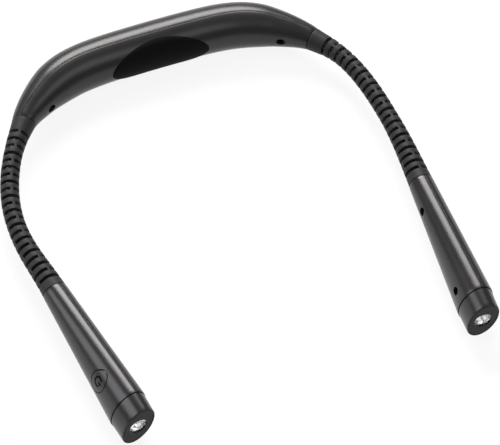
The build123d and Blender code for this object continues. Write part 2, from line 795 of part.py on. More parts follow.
def make_button(lamp, parting):
    # Button: a patch of the tube's own surface on a lipped plate and a stem
    with BuildPart() as button:
        with BuildSketch(parting):
            Polygon(*button_outline(0), align=None)
        extrude(amount=tube_end_thickness)
        add(tube_solid(lamp, tube_mouth_run, tube_length, -button_proud, tube_sides), mode=Mode.INTERSECT)
        with BuildSketch(parting.offset(button_lip_top - button_lip_thickness)):
            with Locations((button_place, 0)):
                Rectangle(tube_length, tube_end_width)
        extrude(amount=-tube_end_thickness, mode=Mode.SUBTRACT)
    with BuildPart() as lip:
        with BuildSketch(parting.offset(button_lip_top - button_lip_thickness)):
            Polygon(*button_outline(button_lip), align=None)
        extrude(amount=button_lip_thickness)
        room = tube_solid(lamp, tube_mouth_run, tube_length, tube_wall + 2 * loose_fit, tube_cavity_sides)
        add(room, mode=Mode.INTERSECT)
        with BuildSketch(parting):
            with Locations((tube_screw_runs[-1], 0)):
                Circle(boss_radius + 2 * loose_fit)
        extrude(amount=tube_end_thickness, mode=Mode.SUBTRACT)
        with BuildSketch(parting.offset(button_stem_end)):
            with Locations((button_place, button_aside)):
                RegularPolygon(button_stem_radius, round_sides)
        extrude(amount=button_lip_top - button_stem_end)
        add(button.part)
    put(lip.part, "power_button")

    # Switch board on two posts of the inner shell, with its push switch
    board_top = switch_top - switch_plunger_height - switch_height
    with BuildPart() as switch_board:
        with BuildSketch(parting.offset(board_top - board_thickness)):
            with Locations((switch_board_place, button_aside)):
                Rectangle(switch_board_length, switch_board_width)
        extrude(amount=board_thickness)
    put(switch_board.part, "switch_board")
    with BuildPart() as push_switch:
        with BuildSketch(parting.offset(board_top)):
            with Locations((button_place, button_aside)):
                Rectangle(switch_size, switch_size)
        extrude(amount=switch_height)
        with BuildSketch(parting.offset(board_top + switch_height)):
            with Locations((button_place, button_aside)):
                RegularPolygon(switch_plunger_radius, round_sides)
        extrude(amount=switch_plunger_height)
    put(push_switch.part, "push_switch")


arms = (
    ("left", -1, left_bend_angle, left_bend_shares, left_droop_angle, left_end_roll_angle),
    ("right", 1, right_bend_angle, right_bend_shares, right_droop_angle, right_end_roll_angle),
)
for side_name, side, bend, bend_shares, droop, end_roll in arms:
    start, halfway, after, tip = arm_layout(side, bend, bend_shares, droop, end_roll)
    flex_root("flex_root_" + side_name, start, halfway, side)
    for number in range(link_count):
        flex_link("flex_link_" + side_name + "_" + str(number + 1), halfway, after, side, number * rings_per_link)
    flex_tip("flex_tip_" + side_name, halfway, after, side)
    gooseneck_core("gooseneck_core_" + side_name, start, after, tip)
    lamp = Plane(origin=tip.origin, x_dir=tip.x_dir.cross(tip.z_dir), z_dir=tip.z_dir)
    make_lamp(side_name, lamp, side_name == "left")
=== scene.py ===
import math

import bmesh
import bpy
import numpy as np
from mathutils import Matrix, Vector


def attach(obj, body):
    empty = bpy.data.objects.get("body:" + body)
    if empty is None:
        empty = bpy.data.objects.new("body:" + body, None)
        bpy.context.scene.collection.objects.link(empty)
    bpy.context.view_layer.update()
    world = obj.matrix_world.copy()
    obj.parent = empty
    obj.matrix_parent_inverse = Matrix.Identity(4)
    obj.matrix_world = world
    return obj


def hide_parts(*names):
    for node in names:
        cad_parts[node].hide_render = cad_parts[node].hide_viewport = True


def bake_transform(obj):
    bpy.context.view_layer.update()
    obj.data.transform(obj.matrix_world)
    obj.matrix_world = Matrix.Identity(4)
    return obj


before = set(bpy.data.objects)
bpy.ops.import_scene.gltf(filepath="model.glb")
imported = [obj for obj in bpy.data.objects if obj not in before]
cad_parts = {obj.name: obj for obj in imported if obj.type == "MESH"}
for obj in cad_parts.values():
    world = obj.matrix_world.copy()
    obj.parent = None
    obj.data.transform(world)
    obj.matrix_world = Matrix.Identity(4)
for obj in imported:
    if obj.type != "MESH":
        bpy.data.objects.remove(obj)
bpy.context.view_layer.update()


# Studio
# The light lies on a plain white table, seen from the front, a little from
# the left and well above, with a long lens.

camera_target = Vector((0.00886, -0.02245, 0.0128))
camera_azimuth = -21
camera_elevation = 53
camera_distance = 1.2
camera_lens = 172.8
camera_near = 0.01
floor_half = 3.0
floor_drop = 0.0002
lit_floor = (0.8, 0.8, 0.8, 1)
seen_floor = (0.16, 0.16, 0.16, 1)
seen_ground = (0.88, 0.88, 0.88, 1)
air_strength = 0.12
ground_strength = 1.0
panel_distance = 1.6


def set_up(thing, target, azimuth, elevation, distance):
    # Stands a camera or a lamp off the target and turns it there; azimuth 0 is the front
    turn, rise = math.radians(azimuth), math.radians(elevation)
    away = Vector((
        math.sin(turn) * math.cos(rise), -math.cos(turn) * math.cos(rise), math.sin(rise),
    ))
    thing.location = target + away * distance
    thing.rotation_euler = away.to_track_quat("Z", "Y").to_euler()
    bpy.context.collection.objects.link(thing)


camera_data = bpy.data.cameras.new("camera")
camera_data.lens = camera_lens
camera_data.clip_start = camera_near
camera = bpy.data.objects.new("camera", camera_data)
set_up(camera, camera_target, camera_azimuth, camera_elevation, camera_distance)
bpy.context.scene.camera = camera


def node_tree(material_or_world):
    # Its node tree, emptied
    material_or_world.use_nodes = True
    tree = material_or_world.node_tree
    tree.nodes.clear()
    return tree


def add_node(tree, kind, inputs, **settings):
    # A node with its settings, and for each input its value or the output that feeds it
    node = tree.nodes.new("ShaderNode" + kind)
    for setting, value in settings.items():
        setattr(node, setting, value)
    for key, value in inputs.items():
        if isinstance(value, bpy.types.NodeSocket):
            tree.links.new(value, node.inputs[key])
        else:
            node.inputs[key].default_value = value
    return node


def seen_directly(tree):
    # 1 for what the camera sees straight, in a reflection or through a clear piece
    path = add_node(tree, "LightPath", {})
    seen = path.outputs["Is Camera Ray"]
    for way in ("Is Glossy Ray", "Is Transmission Ray"):
        either = add_node(tree, "Math", {0: seen, 1: path.outputs[way]}, operation="MAXIMUM")
        seen = either.outputs[0]
    return seen


floor_mesh = bpy.data.meshes.new("table_top")
corners = ((-1, -1), (1, -1), (1, 1), (-1, 1))
floor_mesh.from_pydata([(x * floor_half, y * floor_half, 0) for x, y in corners], [], [(0, 1, 2, 3)])
floor = bpy.data.objects.new("table_top", floor_mesh)
floor.location.z = -floor_drop
bpy.context.collection.objects.link(floor)

# An arm that is bent down reaches below the table, so the table is clear to
# the eye against white ground, and the panels' light goes through it
table_white = bpy.data.materials.new("table_white")
tree = node_tree(table_white)
lit = add_node(tree, "BsdfDiffuse", {"Color": lit_floor})
shaded = add_node(tree, "BsdfDiffuse", {"Color": seen_floor})
clear = add_node(tree, "BsdfTransparent", {"Color": seen_ground})
both = add_node(tree, "AddShader", {0: shaded.outputs[0], 1: clear.outputs[0]})
choose = add_node(tree, "MixShader", {"Fac": seen_directly(tree), 1: lit.outputs[0], 2: both.outputs[0]})
path = add_node(tree, "LightPath", {})
let_through = add_node(tree, "BsdfTransparent", {})
table = add_node(tree, "MixShader", {
    "Fac": path.outputs["Is Shadow Ray"], 1: choose.outputs[0], 2: let_through.outputs[0],
})
add_node(tree, "OutputMaterial", {"Surface": table.outputs[0]})
floor.data.materials.append(table_white)

# Below the horizon the ground is white to the eye, above it the room is dim
studio_air = bpy.data.worlds.new("studio_air")
bpy.context.scene.world = studio_air
tree = node_tree(studio_air)
way = add_node(tree, "TexCoord", {})
split = add_node(tree, "SeparateXYZ", {0: way.outputs["Generated"]})
below = add_node(tree, "Math", {0: split.outputs["Z"], 1: 0}, operation="LESS_THAN")
white = add_node(tree, "Math", {0: seen_directly(tree), 1: below.outputs[0]}, operation="MULTIPLY")
strength = add_node(tree, "MapRange", {
    "Value": white.outputs[0], "To Min": air_strength, "To Max": ground_strength,
})
air = add_node(tree, "Background", {"Color": (1, 1, 1, 1), "Strength": strength.outputs["Result"]})
add_node(tree, "OutputWorld", {"Surface": air.outputs[0]})


def softbox(name, azimuth, elevation, width, height, power, tint):
    # An oval lamp screen that faces the middle of the light
    data = bpy.data.lights.new(name, "AREA")
    data.shape = "ELLIPSE"
    data.color = tint
    data.size = width
    data.size_y = height
    data.energy = power
    set_up(bpy.data.objects.new(name, data), Vector(), azimuth, elevation, panel_distance)


softbox(
    "back_panel", azimuth=167, elevation=41, width=1.15, height=0.78, power=29, tint=(1.0, 0.975, 0.955),
)
softbox(
    "left_panel", azimuth=-113, elevation=35, width=0.8, height=1.2, power=9.5, tint=(0.98, 0.965, 1.0),
)
softbox("front_panel", azimuth=35, elevation=52, width=1.3, height=0.8, power=4.6, tint=(1, 1, 1))

bpy.context.scene.view_settings.view_transform = "Standard"


# Neck band
# Two satin charcoal mouldings, a back half and a neck half, that meet in a
# fine seam along the crest and are held by two screws from the neck side.

band_middle = Vector((0.00325, 0.10633, 0.012617))
band_half_run = 0.0883
band_thickness = 0.0252
band_mouth = 0.0126
band_mouth_ease = 0.0002
band_end_heading = 55
band_wall = 0.0022
band_stations = 176
plug_radius = 0.0036
run_shares = (0.0, 0.26, 0.4, 0.5, 0.59, 0.68, 0.77, 0.86, 0.93, 1.0)
turn_shares = (0.0, 0.035, 0.11, 0.23, 0.385, 0.54, 0.66, 0.735, 0.82, 1.0)
slim_shares = (0.0, 0.0, 0.0, 0.02, 0.07, 0.19, 0.41, 0.635, 0.825, 1.0)
seam_middle = -0.00189
seam_ends = 0.00126
seam_gap = 0.00005
seam_round = 0.00020
corner_steps = 4
crease_angle = 40
hole_radius = 0.00215
band_hole_side = 0.0637
band_hole_setback = 0.0229
band_hole_depth = 0.0050
cutter_reach = 0.02
same_point = 1e-7
grain_strength = 0.35


def eased(place, places, values):
    # A smooth curve through the table's points
    high = 1
    while high < len(places) - 1 and place > places[high]:
        high += 1
    low = high - 1
    slopes = []
    for index in (low, high):
        before, after = max(index - 1, 0), min(index + 1, len(places) - 1)
        slopes.append((values[after] - values[before]) / (places[after] - places[before]))
    span = places[high] - places[low]
    t = min(max((place - places[low]) / span, 0), 1)
    return (
        values[low] * (2 * t ** 3 - 3 * t ** 2 + 1)
        + slopes[0] * span * (t ** 3 - 2 * t ** 2 + t)
        + values[high] * (3 * t ** 2 - 2 * t ** 3)
        + slopes[1] * span * (t ** 3 - t ** 2)
    )


def band_section(run):
    # Middle of the band's section at a distance from the band's middle, and the way outwards
    side = -1 if run < 0 else 1
    reach = abs(run)
    x = y = turn = 0
    for low in range(len(run_shares) - 1):
        start, end = (band_half_run * share for share in run_shares[low:low + 2])
        first, last = (math.radians(band_end_heading * share) for share in turn_shares[low:low + 2])
        span = min(reach, end) - start
        turn = first + (last - first) * span / (end - start)
        x += span * math.cos((first + turn) / 2)
        y -= span * math.sin((first + turn) / 2)
        if reach <= end:
            break
    middle = band_middle + Vector((side * x, y, 0))
    return middle, Vector((side * math.sin(turn), math.cos(turn), 0))


def corner_points(first, corner, last):
    # A rounded corner from first to last
    points = []
    for index in range(corner_steps + 1):
        t = index / corner_steps
        points.append(tuple(
            a * (1 - t) ** 2 + 2 * b * t * (1 - t) + c * t ** 2 for a, b, c in zip(first, corner, last)
        ))
    return points


def arc(half_wide, half_high, reach, steps):
    # Points of an oval from an angle before the way that wide points to the same angle after it
    angles = [-reach + 2 * reach * index / steps for index in range(steps + 1)]
    return [(half_wide * math.cos(angle), half_high * math.sin(angle)) for angle in angles]


def half_shell_profile(half_wide, half_high, seam, way, wall, least_bore, steps=36):
    # Outer and inner points of one half of a hollow oval, on one side of a seam. Wide points the
    # way of the half, high is along the seam; way is 1 for the half beyond the seam.
    edge = seam * way + seam_gap
    inner_wide, inner_high = (max(half - wall, least_bore) for half in (half_wide, half_high))
    meet, inner_meet = (
        math.acos(max(min(edge / wide, 1), -1)) for wide in (half_wide, inner_wide)
    )
    outer = arc(half_wide, half_high, meet - seam_round / half_high, steps)
    top = half_high * math.sin(meet)
    lip = corner_points(outer[-1], (edge, top), (edge, top - seam_round))
    outer = [(x, -y) for x, y in reversed(lip)][:-1] + outer + lip[1:]
    return outer, arc(inner_wide, inner_high, inner_meet, len(outer) - 1)


def wall_faces(rows, steps, base=0, closed=False):
    # Faces between rows of points that each run round in a loop; closed joins the last row to the first
    faces = []
    for row in range(rows if closed else rows - 1):
        low, high = base + row * steps, base + (row + 1) % rows * steps
        for step in range(steps):
            beyond = (step + 1) % steps
            faces.append((low + step, low + beyond, high + beyond, high + step))
    return faces


def mesh_object(name, vertices, faces, sharp_angle=crease_angle):
    mesh = bpy.data.meshes.new(name)
    mesh.from_pydata([tuple(v) for v in vertices], [], faces)
    shape = bmesh.new()
    shape.from_mesh(mesh)
    bmesh.ops.remove_doubles(shape, verts=shape.verts, dist=same_point)
    bmesh.ops.recalc_face_normals(shape, faces=shape.faces)
    shape.to_mesh(mesh)
    shape.free()
    mesh.polygons.foreach_set("use_smooth", [True] * len(mesh.polygons))
    mesh.set_sharp_from_angle(angle=math.radians(sharp_angle))
    piece = bpy.data.objects.new(name, mesh)
    bpy.context.collection.objects.link(piece)
    return piece


def shell_object(name, sections):
    # A hollow half shell from its sections, each a row of outer points and a row of inner points
    count = len(sections[0][0])
    vertices = [point for outer, inner in sections for point in outer + inner[::-1]]
    faces = wall_faces(len(sections), 2 * count)
    for base in (0, (len(sections) - 1) * 2 * count):
        for index in range(count - 1):
            opposite = base + 2 * count - 1 - index
            faces.append((base + index, base + index + 1, opposite - 1, opposite))
    return mesh_object(name, vertices, faces)


def band_shell(name, way):
    sections = []
    for index in range(band_stations + 1):
        run = band_half_run * (2 * index / band_stations - 1)
        share = abs(run) / band_half_run
        middle, outwards = band_section(run)
        loss = eased(share, run_shares, slim_shares)
        half = (band_thickness - loss * (band_thickness - band_mouth)) / 2
        half -= max(band_mouth_ease - (band_half_run - abs(run)), 0)
        seam = seam_middle + (seam_ends - seam_middle) * share ** 2
        profile = half_shell_profile(half, half, seam, way, band_wall, plug_radius)
        sections.append(tuple(
            [middle + outwards * (x * way) + Vector((0, 0, y)) for x, y in row] for row in profile
        ))
    return shell_object(name, sections)


def cut_away(piece, cutter):
    # What the cutter fills is taken out of the piece
    change = piece.modifiers.new("cut", "BOOLEAN")
    change.operation = "DIFFERENCE"
    change.solver = "EXACT"
    change.object = cutter
    bpy.context.view_layer.update()
    depsgraph = bpy.context.evaluated_depsgraph_get()
    mesh = bpy.data.meshes.new_from_object(piece.evaluated_get(depsgraph))
    piece.modifiers.clear()
    piece.data = mesh
    mesh.set_sharp_from_angle(angle=math.radians(crease_angle))
    bpy.data.objects.remove(cutter)


def plain_bar(name, start_outline, end_outline):
    # A closed solid between two like outlines
    count = len(start_outline)
    faces = wall_faces(2, count)
    faces += [tuple(reversed(range(count))), tuple(range(count, 2 * count))]
    return mesh_object(name, start_outline + end_outline, faces)


def round_steps(count, shift=0.0):
    # Cosine and sine of even steps once round
    turns = [2 * math.pi * (index + shift) / count for index in range(count)]
    return [(math.cos(turn), math.sin(turn)) for turn in turns]


def round_bar(name, start, end, radius, steps=40):
    # A plain round cutter between two points
    axis = (end - start).normalized()
    across = axis.orthogonal().normalized()
    other = axis.cross(across)
    circle = [across * (radius * c) + other * (radius * s) for c, s in round_steps(steps)]
    return plain_bar(name, [start + way for way in circle], [end + way for way in circle])


def new_finish(name):
    material = bpy.data.materials.new(name)
    return material, node_tree(material)


def noise_pattern(tree, scale, detail=2):
    # Cloudy values between 0 and 1 over the piece's own surface
    place = add_node(tree, "TexCoord", {})
    noise = add_node(tree, "TexNoise", {"Vector": place.outputs["Object"], "Scale": scale, "Detail": detail})
    return noise.outputs["Fac"]


def mixed_colour(tree, pattern, colour, paler):
    tint = add_node(
        tree, "Mix", {"Factor": pattern, "A": (*colour, 1), "B": (*paler, 1)}, data_type="RGBA",
    )
    return tint.outputs["Result"]


def mixed_value(tree, pattern, low, high):
    return add_node(tree, "MapRange", {"Value": pattern, "To Min": low, "To Max": high}).outputs["Result"]


def coat(tree, inputs):
    # The surface itself, from its colour, gloss and other inputs
    surface = add_node(tree, "BsdfPrincipled", inputs)
    add_node(tree, "OutputMaterial", {"Surface": surface.outputs[0]})


def grained(name, colour, paler, roughness, spread, grain, depth, specular=0.5, metallic=0.0):
    # Moulded plastic: faint colour clouds, uneven gloss and a fine moulded grain
    material, tree = new_finish(name)
    clouds = noise_pattern(tree, scale=90, detail=4)
    pores = noise_pattern(tree, scale=grain, detail=6)
    bump = add_node(tree, "Bump", {"Strength": grain_strength, "Distance": depth, "Height": pores})
    coat(tree, {
        "Base Color": mixed_colour(tree, clouds, colour, paler),
        "Metallic": metallic,
        "Roughness": mixed_value(tree, clouds, roughness - spread, roughness + spread),
        "Specular IOR Level": specular,
        "Normal": bump.outputs["Normal"],
    })
    return material


satin_charcoal = grained(
    "satin_charcoal", (0.026, 0.025, 0.026), (0.031, 0.030, 0.031),
    roughness=0.31, spread=0.03, grain=2600, depth=0.000004, specular=0.42,
)


def dress(piece, material):
    piece.data.materials.clear()
    piece.data.materials.append(material)


def band_hole_floor(side):
    # Middle of the floor of one of the band's two screw holes
    return band_middle + Vector((side * band_hole_side, band_hole_depth - band_hole_setback, 0))


band_back = band_shell("band_back_half", 1)
band_front = band_shell("band_neck_half", -1)
for side in (-1, 1):
    hole_floor = band_hole_floor(side)
    mouth = hole_floor - Vector((0, band_hole_depth + cutter_reach, 0))
    cut_away(band_front, round_bar("band_hole_cutter", mouth, hole_floor, hole_radius))
for piece, node in ((band_back, "band_outer_shell"), (band_front, "band_inner_shell")):
    dress(piece, satin_charcoal)
    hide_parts(node)
    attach(piece, "band")


# Neck pad
# A soft black pad, oval, let into the neck half and standing slightly proud
# of it, with a softly rolled rim.

pad_half_long = 0.0273
pad_half_high = 0.0113
pad_proud = 0.0005
pad_sunk = 0.0004
pad_back = 0.0008
pad_rim = 0.0012
pad_rings = 28
pad_steps = 96
pad_crowding = 1.6
neck_side_tries = 6
neck_side_step = 1.02


def on_neck_side(x, z, lift):
    # Point of the band's neck side at that place, raised off it
    run = x
    for _ in range(neck_side_tries):
        middle, outwards = band_section(run)
        radius = band_thickness / 2 + lift
        height = min(max(z / radius, -1), 1)
        depth = math.sqrt(1 - height ** 2)
        point = middle - outwards * (radius * depth) + Vector((0, 0, radius * height))
        run += (x - (point.x - band_middle.x)) * neck_side_step
    return point


# The soft face in rings from the middle, then the flat back below its rim
pad_outline = [(pad_half_long * c, pad_half_high * s) for c, s in round_steps(pad_steps)]
vertices = []
for ring in range(pad_rings + 1):
    reach = 1 - (1 - ring / pad_rings) ** pad_crowding
    t = min((1 - reach) * pad_half_high / pad_rim, 1)
    lift = (pad_proud + pad_sunk) * math.sqrt(1 - (1 - t) ** 2) - pad_sunk
    vertices += [on_neck_side(x * reach, z * reach, lift) for x, z in pad_outline]
back_start = len(vertices)
vertices += [on_neck_side(x, z, -pad_back) for x, z in pad_outline]
vertices.append(on_neck_side(0, 0, -pad_back))
faces = wall_faces(pad_rings + 2, pad_steps)
for step in range(pad_steps):
    faces.append((back_start + step, back_start + (step + 1) % pad_steps, len(vertices) - 1))
pad = mesh_object("neck_pad_soft", vertices, faces)

soft_black = grained(
    "soft_black_pad", (0.0025, 0.0025, 0.0028), (0.004, 0.004, 0.0044),
    roughness=0.8, spread=0.05, grain=3400, depth=0.00004, specular=0.15,
)
dress(pad, soft_black)
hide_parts("neck_pad")
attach(pad, "band")


# Sheaths
# Each arm's sheath is one soft charcoal moulding with pairs of slots cut
# crosswise, each pair a quarter turn on, and a plain collar at each end.

slot_pitch = 0.00464
slot_gap = 0.00185
slot_count = 22
rings_per_link = 3
link_count = 7
sheath_lead = 0.0098
sheath_tail = 0.0063
sheath_run = sheath_lead + (slot_count - 1) * slot_pitch + sheath_tail
sheath_radius = 0.00482
sheath_bore = 0.0034
rear_collar = 0.0062
rear_flare = 0.026
rear_flare_power = 2.0
front_collar = 0.0063
front_flare = 0.0475
front_flare_power = 1.3
collar_gap = 0.0004
collar_lip = 0.0010
collar_overlap = 0.0001
ring_round = 0.00020
plug_bore = 0.0032
rear_flange = (-0.0095, -0.0080)
rear_flange_radius = 0.0045
front_flange = (0.00615, 0.00765)
front_flange_radius = 0.0042
bridge_half = 0.00068
bridge_fillet = 0.00042
bridge_fillet_share = 0.8
bridge_root = 0.0002
bridge_sunk = 0.00002
start_roll = 12.0
bend_places = (0.0, 0.25, 0.5, 0.75, 1.0)


def arm_frame(side, point, heading, slope, roll):
    # Place, outward, upward and along directions of an arm at one point
    flat, tilt, lift = math.radians(heading), math.radians(slope), math.radians(roll)
    along = Vector((
        side * math.cos(flat) * math.cos(tilt), -math.sin(flat) * math.cos(tilt), -math.sin(tilt),
    ))
    outwards = Vector((side * math.sin(flat), math.cos(flat), 0))
    up = along.cross(outwards) * side
    across = outwards * math.cos(lift) + up * math.sin(lift)
    return point, across, along.cross(across), along


def arm_layout(side, bend, bend_shares, droop, end_roll):
    # Frames of one arm: at the band, at each slot halfway through and after its bend, and at the lamp
    start = arm_frame(side, band_section(side * band_half_run)[0], band_end_heading, 0, start_roll)
    point = start[0] + start[3] * sheath_lead
    heading, slope = band_end_heading, 0
    places = [index / (slot_count - 1) for index in range(slot_count)]
    weights = [float(np.interp(place, bend_places, bend_shares)) for place in places]
    halfway, after = [], []
    for index, weight in enumerate(weights):
        turn = bend * weight / sum(weights)
        roll = start_roll + (end_roll - start_roll) * places[index]
        halfway.append(arm_frame(side, point, heading + turn / 2, (slope + droop) / 2, roll))
        heading += turn
        slope = droop
        after.append(arm_frame(side, point, heading, slope, roll))
        point = point + after[-1][3] * (slot_pitch if index < slot_count - 1 else sheath_tail)
    return start, halfway, after, (point, *after[-1][1:])


def bend_between(piece):
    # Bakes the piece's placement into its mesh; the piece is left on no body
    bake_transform(piece)


def sheath_size(run):
    # Outer radius of the sheath, which flares to both collars
    rear = max(1 - run / rear_flare, 0) ** rear_flare_power
    front = max(1 - (sheath_run - run) / front_flare, 0) ** front_flare_power
    return sheath_radius + (rear_collar - sheath_radius) * rear + (front_collar - sheath_radius) * front


def turned_piece(place, profile, steps=64):
    # Vertices and faces of a closed profile of (along, radius) turned about an arm's line
    point, across, up, along = place
    vertices = []
    for c, s in round_steps(steps):
        way = across * c + up * s
        vertices += [point + along * run + way * radius for run, radius in profile]
    return vertices, wall_faces(steps, len(profile), closed=True)


def rounded_edge(run, radius, way, slope=0.0):
    # The rounded outer edge of a ring or collar, at its start for way -1 and at its end for way 1
    face = (run, radius - ring_round)
    side = (run - way * ring_round, radius - way * slope * ring_round)
    first, last = (face, side) if way < 0 else (side, face)
    return corner_points(first, (run, radius), last)


def ring_profile(start, end, start_radius, end_radius):
    slope = (end_radius - start_radius) / (end - start)
    points = [(start, sheath_bore)]
    points += rounded_edge(start, start_radius, -1, slope)
    points += rounded_edge(end, end_radius, 1, slope)
    return points + [(end, sheath_bore)]


def bridge_pair(halfway, side, index, rows=10, steps=8):
    # Two bars that cross a slot flush with the rings, spreading into them in small fillets.
    # They lie at the arm's sides at every other slot, and above and below it at the rest.
    point, across, up, along = halfway[index]
    first = across if (index % 2 == 0) == (side > 0) else up
    second = along.cross(first)
    middle = sheath_lead + index * slot_pitch
    start_radius, end_radius = sheath_size(middle - slot_gap / 2), sheath_size(middle + slot_gap / 2)
    half_run = slot_gap / 2 + bridge_root
    loop = 2 * (steps + 1)
    vertices, faces = [], []
    for way in (-1, 1):
        base = len(vertices)
        for row in range(rows + 1):
            t = row / rows
            run = half_run * (2 * t - 1)
            radius = start_radius + (end_radius - start_radius) * t - bridge_sunk
            from_face = half_run - abs(run) - bridge_root
            near = min(max(1 - from_face / bridge_fillet, 0), 1)
            spread = bridge_fillet * (1 - math.sqrt(1 - near ** 2)) * bridge_fillet_share
            for reach, sense in ((radius, 1), (sheath_bore, -1)):
                for step in range(steps + 1):
                    turn = (bridge_half + spread) / radius * (2 * step / steps - 1) * sense
                    aside = first * math.cos(turn) + second * math.sin(turn)
                    vertices.append(point + along * run + aside * (reach * way))
        faces += wall_faces(rows + 1, loop, base)
        faces += [tuple(base + row * loop + index for index in range(loop)) for row in (0, rows)]
    return vertices, faces


def joined(name, parts, sharp_angle=crease_angle):
    vertices, faces = [], []
    for part_vertices, part_faces in parts:
        faces += [tuple(index + len(vertices) for index in face) for face in part_faces]
        vertices += part_vertices
    return mesh_object(name, vertices, faces, sharp_angle)


soft_charcoal = grained(
    "soft_charcoal_sheath", (0.025, 0.0245, 0.025), (0.031, 0.0305, 0.031),
    roughness=0.55, spread=0.04, grain=3000, depth=0.00002, specular=0.25,
)

arms = {
    "left": (-1, arm_layout(
        -1, bend=43.1, bend_shares=(0.82, 0.72, 1.0, 0.75, -0.44), droop=0.1, end_roll=24.4,
    )),
    "right": (1, arm_layout(
        1, bend=38.55, bend_shares=(1.0, 0.39, 0.135, 0.175, -0.035), droop=0.0, end_roll=-14.0,
    )),
}

for name, (side, (start, halfway, after, _)) in arms.items():
    # Rear collar, with the plug that the band holds
    plug_end, flange_end = rear_flange
    edge = sheath_lead - slot_gap / 2
    profile = [
        (plug_end, plug_bore), (plug_end, rear_flange_radius), (flange_end, rear_flange_radius),
        (flange_end, plug_radius), (collar_overlap, plug_radius),
        (collar_overlap, rear_collar - collar_lip), (collar_gap, rear_collar - collar_lip),
    ]
    profile += rounded_edge(collar_gap, rear_collar, -1)
    profile += [(edge * t, sheath_size(edge * t)) for t in (0.25, 0.5, 0.75)]
    profile += rounded_edge(edge, sheath_size(edge), 1)
    profile += [(edge, sheath_bore), (0.0, plug_bore)]
    collar = joined("sheath_rear_collar_" + name, [turned_piece(start, profile)])
    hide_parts("flex_root_" + name)
    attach(collar, "band")

    # Links of three rings
    links = []
    for number in range(link_count):
        parts = []
        first = number * rings_per_link
        for index in range(first, first + rings_per_link):
            place = sheath_lead + index * slot_pitch
            ends = (slot_gap / 2, slot_pitch - slot_gap / 2)
            radii = [sheath_size(place + end) for end in ends]
            parts.append(turned_piece(after[index], ring_profile(*ends, *radii)))
        for index in range(first + 1, first + rings_per_link):
            parts.append(bridge_pair(halfway, side, index))
        link = joined("sheath_link_%s_%d" % (name, number + 1), parts)
        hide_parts("flex_link_%s_%d" % (name, number + 1))
        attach(link, "link_%s_%d" % (name, number + 1))
        links.append(link)

    # Front collar, with the plug that the lamp tube holds
    seam = sheath_tail
    last_run = sheath_run - sheath_tail
    flange_start, plug_end = (seam + reach for reach in front_flange)
    profile = [(slot_gap / 2, sheath_bore)]
    profile += rounded_edge(slot_gap / 2, sheath_size(last_run + slot_gap / 2), -1)
    profile += [(seam * t, sheath_size(last_run + seam * t)) for t in (0.4, 0.6, 0.8)]
    profile += rounded_edge(seam - collar_gap, front_collar, 1)
    profile += [
        (seam - collar_gap, front_collar - collar_lip), (seam - collar_overlap, front_collar - collar_lip),
        (seam - collar_overlap, plug_radius), (flange_start, plug_radius),
        (flange_start, front_flange_radius), (plug_end, front_flange_radius),
        (plug_end, plug_bore), (seam, plug_bore),
    ]
    front = joined("sheath_front_collar_" + name, [turned_piece(after[-1], profile)])
    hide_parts("flex_tip_" + name)
    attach(front, "lamp_" + name)

    # Bridges at the slots that bend
    hinges = []
    for number in range(link_count + 1):
        index = number * rings_per_link
        hinge = joined("sheath_bridges_%s_%d" % (name, number + 1), [bridge_pair(halfway, side, index)])
        bend_between(hinge)
        hinges.append(hinge)

    for piece in [collar, front] + links + hinges:
        dress(piece, soft_charcoal)


# Gooseneck cores
# A tube wound from steel wire inside each sheath holds the arm where it is
# bent. It has a thin glossy black cover that shows its turns in the slots.

core_radius = 0.00315
core_groove = 0.00022
core_turn = 0.0011
core_rear = 0.010
core_front = 0.0085
core_spacing = 0.00014
core_steps = 48
core_crease_angle = 60

gloss_black = grained(
    "gloss_black_core", (0.07, 0.07, 0.072), (0.11, 0.11, 0.112),
    roughness=0.28, spread=0.04, grain=1500, depth=0.00001, metallic=0.85,
)


def core_piece(name, places):
    # A stretch of ridged tube through a row of arm places
    vertices = []
    run = 0
    for row, (point, across, up, _) in enumerate(places):
        if row:
            run += (point - places[row - 1][0]).length
        radius = core_radius - core_groove * (0.5 - 0.5 * math.cos(2 * math.pi * run / core_turn)) ** 2
        vertices += [point + (across * c + up * s) * radius for c, s in round_steps(core_steps)]
    faces = wall_faces(len(places), core_steps)
    faces += [tuple(range(core_steps)), tuple(range(len(vertices) - core_steps, len(vertices)))]
    return mesh_object(name, vertices, faces, core_crease_angle)


def stretch(place, first, last):
    # Places along one straight stretch of an arm
    point, across, up, along = place
    count = max(int(abs(last - first) / core_spacing), 1)
    runs = [first + (last - first) * index / count for index in range(count + 1)]
    return [(point + along * run, across, up, along) for run in runs]


for name, (_, (start, halfway, after, _)) in arms.items():
    for number in range(link_count + 1):
        hinge = number * rings_per_link
        if number == 0:
            places = stretch(start, -core_rear, sheath_lead)[:-1]
        else:
            places = stretch(after[hinge - 2], slot_pitch / 2, slot_pitch)[:-1]
            places += stretch(after[hinge - 1], 0, slot_pitch)[:-1]
        if hinge == slot_count - 1:
            places += stretch(after[hinge], 0, sheath_tail + core_front)
        else:
            places += stretch(after[hinge], 0, slot_pitch)[:-1]
            places += stretch(after[hinge + 1], 0, slot_pitch / 2)
        core = core_piece("gooseneck_%s_%d" % (name, number + 1), places)
        bend_between(core)
        dress(core, gloss_black)
        if number == 0:
            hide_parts("gooseneck_core_" + name)


# Lamp tubes
# Each lamp body is two glossy charcoal mouldings, an outer and an inner half,
# clipped and screwed together. The inner half has two deep screw holes.

tube_length = 0.0775
tube_start_half = (0.0065, 0.0064)
tube_end_half = (0.0128, 0.00865)
tube_end_ease = 0.0001
tube_wall = 0.0018
tube_stations = 90
tube_steps = 48
tube_screw_places = ((0.0187, 0.0006), (0.0701, 0.0013))
tube_screw_seat = 0.0026
tube_hole_floor = 0.002
button_place = 0.0596
button_aside = 0.0018
button_half_along = 0.0051
button_half_across = 0.0061
button_lean = -0.23
button_gap = 0.0004
button_steps = 120
window_floor = 0.001

